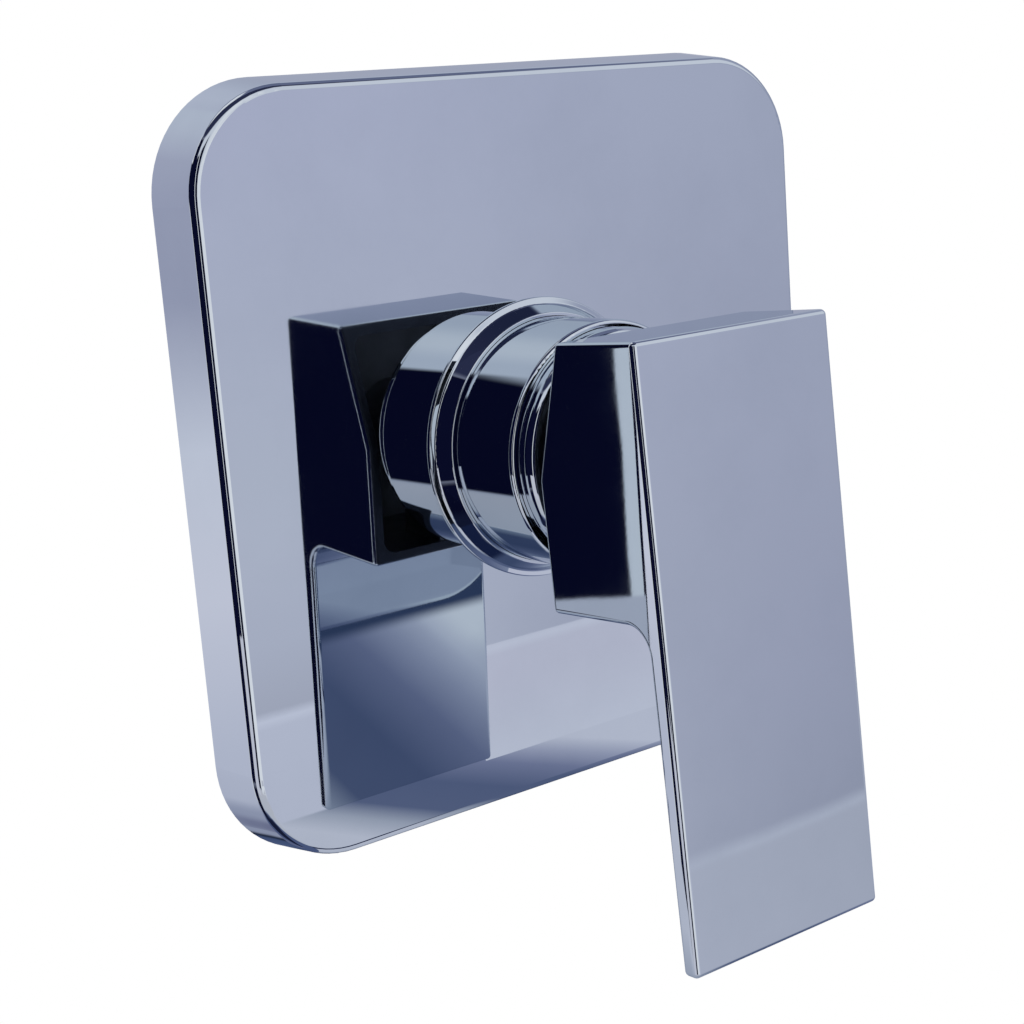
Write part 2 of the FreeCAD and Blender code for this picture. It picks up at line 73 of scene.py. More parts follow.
def effect_group(name, inputs, outputs):
    """Empty node group with float inputs, given as name: value, and float outputs."""
    tree = bpy.data.node_groups.new(name, "ShaderNodeTree")
    for label, value in inputs.items():
        socket = tree.interface.new_socket(label, in_out="INPUT", socket_type="NodeSocketFloat")
        socket.default_value = value
    for label in outputs:
        tree.interface.new_socket(label, in_out="OUTPUT", socket_type="NodeSocketFloat")
    return tree, tree.nodes.new("NodeGroupInput"), tree.nodes.new("NodeGroupOutput")


def place_group(tree, group, **values):
    """The group as one node of a material, with its own input values or links."""
    made = tree.nodes.new("ShaderNodeGroup")
    made.node_tree = group
    for label, value in values.items():
        socket = made.inputs[label.replace("_", " ").capitalize()]
        if isinstance(value, bpy.types.NodeSocket):
            tree.links.new(value, socket)
        else:
            socket.default_value = value
    return made


def grain_group():
    """Grain of a mould: two noises of one scale, the finer one eight times as dense and half as strong.

    Patches are a third noise, about eight times as wide."""
    fine_density = 8.0
    fine_share = 0.5
    patch_density = 0.12
    tree, given, put = effect_group("mould_grain", {"Scale": 400.0, "Detail": 3.0}, ["Grain", "Patches"])
    place = add(tree, "TexCoord").outputs["Object"]
    scale = given.outputs["Scale"]
    coarse = add(tree, "TexNoise", {"Vector": place, "Scale": scale, "Detail": given.outputs["Detail"]})
    finer = reckon(tree, "MULTIPLY", scale, fine_density)
    fine = add(tree, "TexNoise", {"Vector": place, "Scale": finer, "Detail": 1.0})
    grain = reckon(tree, "MULTIPLY_ADD", fine.outputs["Fac"], fine_share, coarse.outputs["Fac"])
    wider = reckon(tree, "MULTIPLY", scale, patch_density)
    patches = add(tree, "TexNoise", {"Vector": place, "Scale": wider, "Detail": 4.0, "Roughness": 0.6})
    tree.links.new(grain, put.inputs["Grain"])
    tree.links.new(patches.outputs["Fac"], put.inputs["Patches"])
    return tree


def finish_material(name):
    """Material with a Principled shader, ready for its nodes."""
    made = bpy.data.materials.new(name)
    made.use_nodes = True
    return made, made.node_tree, made.node_tree.nodes["Principled BSDF"]


def blend_colours(tree, factor, first, second):
    """Colour between two colours or outputs, by a mask."""
    ends = [end if isinstance(end, bpy.types.NodeSocket) else (*end, 1) for end in (first, second)]
    return add(tree, "Mix", {0: factor, 6: ends[0], 7: ends[1]}, data_type="RGBA").outputs[2]


def blend_values(tree, factor, first, second):
    """Value between two values or outputs, by a mask."""
    return add(tree, "Mix", {0: factor, 2: first, 3: second}, data_type="FLOAT").outputs[0]


def between(tree, value, low, high, to_low=0.0, to_high=1.0, smooth=False):
    """Value carried from one range to another and clamped there."""
    kind = "SMOOTHSTEP" if smooth else "LINEAR"
    inputs = {"Value": value, "From Min": low, "From Max": high, "To Min": to_low, "To Max": to_high}
    return add(tree, "MapRange", inputs, interpolation_type=kind).outputs["Result"]


def bump(tree, shader, height, distance, strength=1.0):
    """Relief of a height, in metres, on a shader's normal."""
    relief = add(tree, "Bump", {"Height": height, "Distance": distance, "Strength": strength})
    tree.links.new(relief.outputs["Normal"], shader.inputs["Normal"])


def dress(material, *nodes):
    """Puts a material on CAD nodes."""
    for name in nodes:
        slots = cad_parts[name].data.materials
        slots.clear()
        slots.append(material)


mould_grain = grain_group()
pipe_reach = 0.038
pipe_middle = np.array((0.0, -0.020, 0.0))
thread_minor = 0.0093
thread_depth = 0.00116
thread_pitch = 0.001814
thread_length = 0.014
thread_end = pipe_reach - thread_length


def cast_brass():
    """Rough brass where the sand mould left it, bright where a tool cut it.

    The cut parts are the pipes' faces and threads, the back and the neck."""
    face_edge = 0.0003
    bore_edge = 0.0002
    pipe_face = pipe_reach - 0.0016
    back_face = -0.0006
    neck_start = -0.0421
    bore_reach = thread_minor + thread_depth + bore_edge
    made, tree, shader = finish_material("cast_brass")
    x, y, z = own_axes(tree)
    side = reckon(tree, "ABSOLUTE", x)
    reach = reckon(tree, "MAXIMUM", side, z)
    on_pipe = between(tree, reach, pipe_face, pipe_face + face_edge)
    on_back = between(tree, y, back_face, back_face + face_edge)
    on_neck = between(tree, y, neck_start, neck_start - face_edge)
    across = reckon(tree, "MINIMUM", side, z)
    deep = reckon(tree, "SUBTRACT", y, pipe_middle[1])
    off_axis = flat_length(tree, across, deep)
    near_axis = between(tree, off_axis, bore_reach, bore_reach - bore_edge)
    in_pipe = between(tree, reach, thread_end - bore_edge, thread_end)
    cut = reckon(tree, "MULTIPLY", near_axis, in_pipe)
    for face in (on_pipe, on_back, on_neck):
        cut = reckon(tree, "MAXIMUM", cut, face)
    grain = place_group(tree, mould_grain, scale=900.0, detail=4.0)
    tarnish = between(tree, grain.outputs["Patches"], 0.35, 0.7)
    cast_colour = blend_colours(tree, tarnish, (0.60, 0.41, 0.17), (0.44, 0.28, 0.11))
    colour = blend_colours(tree, cut, cast_colour, (0.80, 0.60, 0.28))
    tree.links.new(colour, shader.inputs["Base Color"])
    shader.inputs["Metallic"].default_value = 1.0
    cast_roughness = between(tree, grain.outputs["Patches"], 0.3, 0.7, 0.42, 0.6)
    roughness = blend_values(tree, cut, cast_roughness, 0.24)
    tree.links.new(roughness, shader.inputs["Roughness"])
    uncut = reckon(tree, "SUBTRACT", 1.0, cut)
    height = reckon(tree, "MULTIPLY", grain.outputs["Grain"], uncut)
    bump(tree, shader, height, 0.0003, 0.6)
    return made


def pipe_thread(out, side, columns=72, rows=120):
    """Threaded bore of a pipe that points out: a grid of depth from the pipe's face and angle from side.

    At depth t and angle a the radius is the minor radius plus the thread's depth times a rounded groove,
    (1 - cos(2 pi t / pitch - a)) / 2 to the power of 0.8, which fades into the plain bore at both ends."""
    roundness = 0.8
    lead_in = 0.0008
    run_out = 0.003
    turns = np.linspace(0, 2 * np.pi, columns, endpoint=False)
    a, t = np.meshgrid(turns, np.linspace(0, thread_length, rows))
    groove = (0.5 - 0.5 * np.cos(2 * np.pi * t / thread_pitch - a)) ** roundness
    fade = np.clip(t / lead_in, 0, 1) * np.clip((thread_length - t) / run_out, 0, 1)
    radius = thread_minor + thread_depth * groove * fade
    around = np.cos(a)[..., None] * side + np.sin(a)[..., None] * np.cross(out, side)
    points = pipe_middle + (pipe_reach - t)[..., None] * out + radius[..., None] * around
    first = np.arange((rows - 1) * columns)
    beside = first - first % columns + (first + 1) % columns
    faces = np.concatenate([np.stack([first, beside, beside + columns], 1),
                            np.stack([first, beside + columns, first + columns], 1)])
    return points.reshape(-1, 3), faces


def threaded_casting(name, material):
    """Copy of the casting's merged mesh in which a thread takes the place of each pipe's plain bore."""
    bore_gap = 0.00003
    end_gap = 0.00001
    pipes = (((-1, 0, 0), (0, 0, 1)), ((1, 0, 0), (0, 0, 1)), ((0, 0, 1), (1, 0, 0)))
    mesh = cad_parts["valve_body"].data
    points = np.empty((len(mesh.vertices), 3), np.float32)
    mesh.vertices.foreach_get("co", points.ravel())
    corners = np.empty(len(mesh.loops), np.int32)
    mesh.loops.foreach_get("vertex_index", corners)
    normals = np.empty((len(mesh.loops), 3), np.float32)
    mesh.corner_normals.foreach_get("vector", normals.ravel())
    points, merged = np.unique(np.round(points, 7), axis=0, return_inverse=True)
    faces = merged.ravel()[corners].reshape(-1, 3)
    normals = normals.reshape(-1, 3, 3)
    kept = np.all(faces != np.roll(faces, 1, 1), 1)
    threads = []
    for out, side in pipes:
        out, side = np.array(out, float), np.array(side, float)
        along = (points - pipe_middle) @ out
        radius = np.linalg.norm(points - pipe_middle - along[:, None] * out, axis=1)
        on_bore = (np.abs(radius - thread_minor) < bore_gap) & (along > thread_end - end_gap)
        upright = np.abs(normals.mean(1) @ out) < 0.5
        kept &= ~(np.all(on_bore[faces], 1) & upright)
        threads.append(pipe_thread(out, side))
    all_points, all_faces = [points], [faces[kept]]
    start = len(points)
    for thread_points, thread_faces in threads:
        all_points.append(thread_points)
        all_faces.append(thread_faces + start)
        start += len(thread_points)
    all_faces = np.concatenate(all_faces)
    made = bpy.data.meshes.new(name)
    made.from_pydata(np.concatenate(all_points).tolist(), [], all_faces.tolist())
    made.polygons.foreach_set("use_smooth", np.ones(len(all_faces), bool))
    directions = np.zeros((3 * len(all_faces), 3), np.float32)
    directions[:3 * kept.sum()] = normals[kept].reshape(-1, 3)
    made.normals_split_custom_set(directions.tolist())
    made.materials.append(material)
    piece = bpy.data.objects.new(name, made)
    bpy.context.scene.collection.objects.link(piece)
    return piece


threaded_body = threaded_casting("threaded_body", cast_brass())
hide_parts("valve_body")
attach(threaded_body, "valve")


# Seals of the cartridge base and the disc, the sleeve's O-rings and the plate's grip ring: black moulded
# rubber, slightly dusty, pressed into their seats by the pieces in front of them.
def black_rubber():
    """Matt black rubber with a fine moulded skin and lighter dusty patches."""
    made, tree, shader = finish_material("black_rubber")
    grain = place_group(tree, mould_grain, scale=1500.0, detail=2.0)
    dust = between(tree, grain.outputs["Patches"], 0.45, 0.75)
    colour = blend_colours(tree, dust, (0.012, 0.012, 0.014), (0.045, 0.045, 0.05))
    tree.links.new(colour, shader.inputs["Base Color"])
    roughness = between(tree, grain.outputs["Patches"], 0.3, 0.7, 0.5, 0.72)
    tree.links.new(roughness, shader.inputs["Roughness"])
    bump(tree, shader, grain.outputs["Grain"], 0.00006, 0.5)
    return made


dress(black_rubber(), "base_seals", "disc_seals", "sleeve_o_rings", "grip_ring")


# Cartridge base, housing, disc carrier, stem guide and limit ring: injection-moulded plastic with a
# slightly grained skin. The base clips into the housing, and the limit ring drops on its front.
def moulded_plastic(name, colour, shade):
    """Moulded plastic: a colour, a slightly darker shade in patches, and a fine spark-eroded grain."""
    made, tree, shader = finish_material(name)
    grain = place_group(tree, mould_grain, scale=1200.0, detail=2.0)
    patches = between(tree, grain.outputs["Patches"], 0.35, 0.7)
    tree.links.new(blend_colours(tree, patches, colour, shade), shader.inputs["Base Color"])
    roughness = between(tree, grain.outputs["Patches"], 0.3, 0.7, 0.34, 0.46)
    tree.links.new(roughness, shader.inputs["Roughness"])
    bump(tree, shader, grain.outputs["Grain"], 0.00004, 0.4)
    return made


grey_plastic = moulded_plastic("grey_plastic", (0.15, 0.165, 0.19), (0.12, 0.13, 0.155))
white_plastic = moulded_plastic("white_plastic", (0.72, 0.72, 0.69), (0.66, 0.66, 0.62))
red_plastic = moulded_plastic("red_plastic", (0.45, 0.018, 0.012), (0.36, 0.012, 0.01))
dress(grey_plastic, "cartridge_base", "stem_guide")
dress(white_plastic, "cartridge_housing", "disc_carrier")
dress(red_plastic, "limit_ring")


# Ceramic discs: pressed and fired alumina, lapped flat so that the two faces seal on each other. The
# fixed one lies on the base's seals, and the carrier pushes the moving one across it.
def lapped_ceramic():
    """Ivory white alumina with a faint speckle, glossy on the lapped faces."""
    made, tree, shader = finish_material("lapped_ceramic")
    grain = place_group(tree, mould_grain, scale=2500.0, detail=2.0)
    speckle = between(tree, grain.outputs["Grain"], 0.6, 1.0)
    colour = blend_colours(tree, speckle, (0.80, 0.77, 0.70), (0.72, 0.69, 0.62))
    tree.links.new(colour, shader.inputs["Base Color"])
    roughness = between(tree, grain.outputs["Patches"], 0.3, 0.7, 0.12, 0.2)
    tree.links.new(roughness, shader.inputs["Roughness"])
    return made


dress(lapped_ceramic(), "fixed_disc", "moving_disc")


# Pivot pin and grub screw: ground steel. The pin carries the stem across the turning core, and the
# screw clamps the handle on the stem.
def polish_group():
    """Marks on a polished metal: slow waves of the polishing wheel, a fine peel, and thin smudges."""
    peel_scale = 900.0
    peel_share = 0.012
    inputs = {"Wave scale": 40.0, "Smudge scale": 25.0}
    tree, given, put = effect_group("polish_marks", inputs, ["Waves", "Smudges"])
    place = add(tree, "TexCoord").outputs["Object"]
    slow = add(tree, "TexNoise", {"Vector": place, "Scale": given.outputs["Wave scale"], "Detail": 1.0})
    peel = add(tree, "TexNoise", {"Vector": place, "Scale": peel_scale, "Detail": 1.0})
    waves = reckon(tree, "MULTIPLY_ADD", peel.outputs["Fac"], peel_share, slow.outputs["Fac"])
    smudges = add(tree, "TexNoise", {"Vector": place, "Scale": given.outputs["Smudge scale"], "Detail": 6.0,
                                     "Roughness": 0.62})
    tree.links.new(waves, put.inputs["Waves"])
    tree.links.new(smudges.outputs["Fac"], put.inputs["Smudges"])
    return tree


polish_marks = polish_group()


def polished_metal(name, colour, shade, low, high, wave, edge=(1, 1, 1)):
    """Metal between two tints and two roughnesses by its smudges, with waves of a height in metres.

    Edge is how much of the full gloss it keeps at a grazing angle."""
    made, tree, shader = finish_material(name)
    shader.inputs["Specular Tint"].default_value = (*edge, 1)
    marks = place_group(tree, polish_marks)
    smudge = between(tree, marks.outputs["Smudges"], 0.45, 0.75)
    tree.links.new(blend_colours(tree, smudge, colour, shade), shader.inputs["Base Color"])
    shader.inputs["Metallic"].default_value = 1.0
    tree.links.new(between(tree, smudge, 0.0, 1.0, low, high), shader.inputs["Roughness"])
    bump(tree, shader, marks.outputs["Waves"], wave)
    return made


ground_steel = polished_metal("ground_steel", (0.50, 0.51, 0.53), (0.42, 0.43, 0.45), 0.22, 0.34, 0.00002)
dress(ground_steel, "pivot_pin", "grub_screw")


# Cartridge nut and stem: turned and milled brass. The nut screws into the neck and clamps the
# cartridge, and the stem carries the handle on its square end.
def turned_brass():
    """Machined brass with fine tool rings about the valve axis."""
    ring_pitch = 0.00035
    made, tree, shader = finish_material("turned_brass")
    x, y, z = own_axes(tree)
    path = reckon(tree, "ADD", flat_length(tree, x, z), y)
    rings = reckon(tree, "SINE", reckon(tree, "MULTIPLY", path, 2 * math.pi / ring_pitch))
    marks = place_group(tree, polish_marks, smudge_scale=60.0)
    smudge = between(tree, marks.outputs["Smudges"], 0.4, 0.75)
    colour = blend_colours(tree, smudge, (0.82, 0.62, 0.29), (0.68, 0.48, 0.2))
    tree.links.new(colour, shader.inputs["Base Color"])
    shader.inputs["Metallic"].default_value = 1.0
    tree.links.new(between(tree, smudge, 0.0, 1.0, 0.2, 0.33), shader.inputs["Roughness"])
    bump(tree, shader, rings, 0.000006)
    return made


dress(turned_brass(), "cartridge_nut", "stem")


# Foam gasket: a strip of closed-cell foam, cut from sheet and stuck inside the plate's rim, where it is
# squeezed against the wall.
def cell_foam():
    """Dark grey foam: a skin of small round cells, each a dimple.

    Painted shade makes each dimple darker towards its middle.
    """
    made, tree, shader = finish_material("cell_foam")
    place = add(tree, "TexCoord").outputs["Object"]
    cells = add(tree, "TexVoronoi", {"Vector": place, "Scale": 1400.0}, feature="SMOOTH_F1")
    depth = between(tree, cells.outputs["Distance"], 0.0, 0.7)
    # Painted shade: the colour is darker where the dimple is deeper.
    colour = blend_colours(tree, depth, (0.03, 0.03, 0.033), (0.075, 0.075, 0.08))
    tree.links.new(colour, shader.inputs["Base Color"])
    shader.inputs["Roughness"].default_value = 0.85
    bump(tree, shader, depth, 0.0002, 0.8)
    return made


dress(cell_foam(), "plate_gasket")


# Sleeve, dome cap and foot ring: brass, turned, polished and plated with bright chrome, which mirrors
# the studio with slight waves. The cap screws on the nut, and the sleeve and the ring are pushed on.
chrome_tint = (0.64, 0.695, 0.755)
chrome_shade = (0.60, 0.655, 0.715)
chrome_edge = (0.74, 0.77, 0.81)
chrome_gloss = (0.012, 0.05)
chrome_wave = 0.000012
bright_chrome = polished_metal("bright_chrome", chrome_tint, chrome_shade, *chrome_gloss, chrome_wave,
                               chrome_edge)
dress(bright_chrome, "sleeve", "dome_cap", "trim_ring")


# Cover plate and handle: hollow zinc castings. Outside they are polished and plated as the sleeve is,
# inside the plating is thin and keeps the grain of the mould. The plate is gripped by the ring behind it.
def hollow_group():
    """Mask of a hollow: 1 inside a box with rounded corners, from a depth on.

    With q as the distance beyond the box less its corners, the distance to the rounded box is the
    length of q's positive part, plus the larger part of q where both are negative, less the corner."""
    edge = 0.00005
    inputs = {"Across": 0.0, "Up": 0.0, "Depth": 0.0, "Half width": 0.1, "Half height": 0.1,
              "Corner": 0.0, "Start": 0.0}
    tree, given, put = effect_group("hollow_mask", inputs, ["Inside"])
    corner = given.outputs["Corner"]
    sides = []
    for place, half in (("Across", "Half width"), ("Up", "Half height")):
        size = reckon(tree, "ABSOLUTE", given.outputs[place])
        straight = reckon(tree, "SUBTRACT", given.outputs[half], corner)
        sides.append(reckon(tree, "SUBTRACT", size, straight))
    beyond = [reckon(tree, "MAXIMUM", side, 0.0) for side in sides]
    outer = flat_length(tree, *beyond)
    inner = reckon(tree, "MINIMUM", reckon(tree, "MAXIMUM", *sides), 0.0)
    reach = reckon(tree, "SUBTRACT", reckon(tree, "ADD", outer, inner), corner)
    within = between(tree, reach, edge, -edge)
    deep = reckon(tree, "SUBTRACT", given.outputs["Depth"], given.outputs["Start"])
    behind = between(tree, deep, -edge, edge)
    tree.links.new(reckon(tree, "MULTIPLY", within, behind), put.inputs["Inside"])
    return tree


hollow_mask = hollow_group()


def plated_casting(name, turn, shift, shaded_rims=(), **hollow):
    """Chrome outside, grained grey metal in the hollow and a rim round it with dark painted shade.

    Turn about X and shift lead to the hollow's axes. The rim with painted shade lies in planes where depth
    plus slope times up is fixed.
    up is fixed."""
    # Dark colour of the rim: painted shade.
    rim_shade_colour = (0.05, 0.055, 0.07)
    rim_depth = (0.0003, 0.0002)
    grain_height = 8.0
    made, tree, shader = finish_material(name)
    shader.inputs["Specular Tint"].default_value = (*chrome_edge, 1)
    own = add(tree, "Mapping", {"Vector": add(tree, "TexCoord").outputs["Object"], "Rotation": (turn, 0, 0),
                                "Location": shift})
    own = add(tree, "SeparateXYZ", {0: own.outputs[0]})
    across, deep, up = own.outputs["X"], own.outputs["Y"], own.outputs["Z"]
    inside = place_group(tree, hollow_mask, across=across, up=up, depth=deep, **hollow).outputs["Inside"]
    marks = place_group(tree, polish_marks)
    grain = place_group(tree, mould_grain, scale=1100.0, detail=3.0)
    smudge = between(tree, marks.outputs["Smudges"], 0.45, 0.75)
    bright = blend_colours(tree, smudge, chrome_tint, chrome_shade)
    dull_and_rim_shade = blend_colours(tree, grain.outputs["Patches"], (0.30, 0.31, 0.33), (0.22, 0.23, 0.25))
    # Each rim plane takes the dull finish and the dark painted shade.
    for slope, depth in shaded_rims:
        level = reckon(tree, "MULTIPLY_ADD", up, slope, deep)
        rim_shade = between(tree, level, depth - rim_depth[0], depth - rim_depth[1])
        inside = reckon(tree, "MAXIMUM", inside, rim_shade)
        dull_and_rim_shade = blend_colours(tree, rim_shade, dull_and_rim_shade, rim_shade_colour)
    tree.links.new(blend_colours(tree, inside, bright, dull_and_rim_shade), shader.inputs["Base Color"])
    shader.inputs["Metallic"].default_value = 1.0
    sheen = between(tree, smudge, 0.0, 1.0, *chrome_gloss)
    matt = between(tree, grain.outputs["Patches"], 0.3, 0.7, 0.42, 0.55)
    tree.links.new(blend_values(tree, inside, sheen, matt), shader.inputs["Roughness"])
    coarse = reckon(tree, "MULTIPLY", grain.outputs["Grain"], grain_height)
    bump(tree, shader, blend_values(tree, inside, marks.outputs["Waves"], coarse), chrome_wave)
    return made


plate_hollow = {"half_width": 0.07325, "half_height": 0.07325, "corner": 0.02025, "start": -0.0606}
dress(plated_casting("plated_plate", 0.0, (0, 0, 0), **plate_hollow), "cover_plate")
handle_lean = math.radians(3.4)
handle_front = -0.12005
handle_top = 0.0254
block_middle = 0.0253
handle_deep = handle_front * math.cos(handle_lean) - handle_top * math.sin(handle_lean)
handle_up = handle_front * math.sin(handle_lean) + handle_top * math.cos(handle_lean) - block_middle
handle_shift = (0, -handle_deep, -handle_up)
handle_hollow = {"half_width": 0.0216, "half_height": 0.0231, "corner": 0.0032, "start": 0.0035}
# Planes of the handle's back rim, which faces the plate and gets dark painted shade.
back_planes = ((0.0, 0.0304), (0.3413, 0.03043))
dress(plated_casting("plated_handle", handle_lean, handle_shift, back_planes, **handle_hollow), "handle")


# Index plug: a small round plug of glossy moulded plastic, red on the hot side and blue on the cold
# side. It is pushed into the hole under the handle, over the grub screw.
def index_colours():
    """Red to the left of the valve axis and blue to the right, with a narrow soft seam."""
    seam = 0.00008
    made, tree, shader = finish_material("index_colours")
    x = own_axes(tree)[0]
    cold = between(tree, x, -seam, seam)
    colour = blend_colours(tree, cold, (0.55, 0.012, 0.012), (0.012, 0.06, 0.45))
    tree.links.new(colour, shader.inputs["Base Color"])
    grain = place_group(tree, mould_grain, scale=1500.0, detail=2.0)
    roughness = between(tree, grain.outputs["Patches"], 0.3, 0.7, 0.12, 0.22)
    tree.links.new(roughness, shader.inputs["Roughness"])
    return made


dress(index_colours(), "index_plug")


# Studio: a pale round floor well below the part, a white surround, two soft lamps, and three pieces that
# only the metal sees. A wide dome glows in zones, with the part's shadow painted on its ground. A table top
# lies under the part, with painted light and painted shadow, and a lit card stands on it at the right of
# the lever.
def stage_object(name, points, columns, rows, material):
    """Mesh of a grid of points, rows by columns, as a piece of the stage."""
    first = (np.arange(rows - 1)[:, None] * columns + np.arange(columns - 1)).ravel()
    faces = np.stack([first, first + 1, first + columns + 1, first + columns], 1)
    mesh = bpy.data.meshes.new(name)
    mesh.from_pydata(points.tolist(), [], faces.tolist())
    mesh.polygons.foreach_set("use_smooth", np.ones(len(faces), bool))
    mesh.materials.append(material)
    made = bpy.data.objects.new(name, mesh)
    bpy.context.scene.collection.objects.link(made)
    return made


def stage_material(name):
    """Material of the stage, with no nodes yet."""
    made = bpy.data.materials.new(name)
    made.use_nodes = True
    made.node_tree.nodes.clear()
    return made, made.node_tree


def seen_by_metal(card):
    """Leaves a piece of the stage to reflections only."""
    card.visible_camera = False
    card.visible_diffuse = False
    card.visible_shadow = False


def ramp_colours(tree, place, stops):
    """Colours along a place: stops are a place and a colour each, in rising order."""
    first = stops[0][0]
    last = stops[-1][0]
    ramp = add(tree, "ValToRGB", {0: between(tree, place, first, last)})
    marks = ramp.color_ramp.elements
    while len(marks) < len(stops):
        marks.new(0.5)
    for mark, (where, tint) in zip(marks, stops):
        mark.position = (where - first) / (last - first)
        mark.color = (*tint, 1)
    return ramp.outputs["Color"]


def zone_group():
    """Zone of the dome: 1 between two turns and two heights, with soft edges."""
    inputs = {"Turn": 0.0, "Height": 0.0, "Left": 0.0, "Right": 0.0, "Low": 0.0, "High": 0.0,
              "Turn soft": 1.0, "Height soft": 1.0}
    edges = (("Turn", "Left", 1), ("Turn", "Right", -1), ("Height", "Low", 1), ("Height", "High", -1))
    tree, given, put = effect_group("soft_zone", inputs, ["Mask"])
    mask = 1.0
    for place, edge, way in edges:
        past = reckon(tree, "SUBTRACT", given.outputs[place], given.outputs[edge])
        past = reckon(tree, "DIVIDE", past, given.outputs[place + " soft"])
        mask = reckon(tree, "MULTIPLY", mask, between(tree, past, -way, way, smooth=True))
    tree.links.new(mask, put.inputs["Mask"])
    return tree


soft_zone = zone_group()
dome_radius = 3.0


def dome_glow(base, zones):
    """Glow of the dome: each zone, by turn from the front to the right and by height, covers those before.

    Heights are degrees of rise, or for a flat wall in front the level, height over distance. A zone has
    one colour, or a list of stops of its height."""
    least_distance = 0.01
    made, tree = stage_material("dome_glow")
    x, y, z = own_axes(tree)
    front = reckon(tree, "MULTIPLY", y, -1.0)
    turn = reckon(tree, "DEGREES", reckon(tree, "ARCTAN2", x, front))
    rise = reckon(tree, "ARCSINE", reckon(tree, "DIVIDE", z, dome_radius))
    rise = reckon(tree, "DEGREES", rise)
    level = reckon(tree, "DIVIDE", z, reckon(tree, "MAXIMUM", front, least_distance))
    colour = base
    for kind, (left, right), (low, high), (turn_soft, height_soft), shades in zones:
        height = level if kind == "level" else rise
        zone = place_group(tree, soft_zone, turn=turn, height=height, left=left, right=right, low=low,
                           high=high, turn_soft=turn_soft, height_soft=height_soft)
        own = ramp_colours(tree, height, shades) if isinstance(shades, list) else shades
        colour = blend_colours(tree, zone.outputs["Mask"], colour, own)
    glow = add(tree, "Emission", {"Color": colour})
    add(tree, "OutputMaterial", {"Surface": glow.outputs[0]})
    return made


def dome_points(columns, rows):
    """Sphere: columns of turn all the way round, rows of rise from the foot to the top."""
    a, e = np.meshgrid(np.linspace(-np.pi, np.pi, columns), np.linspace(-np.pi / 2, np.pi / 2, rows))
    points = np.stack([np.sin(a) * np.cos(e), -np.cos(a) * np.cos(e), np.sin(e)], 2)
    return dome_radius * points.reshape(-1, 3)


everywhere = (-200, 200)
pale = (0.95, 0.95, 0.97)
light_grey = (0.78, 0.80, 0.86)
hazy_grey = (0.42, 0.44, 0.56)
navy = (0.004, 0.005, 0.024)
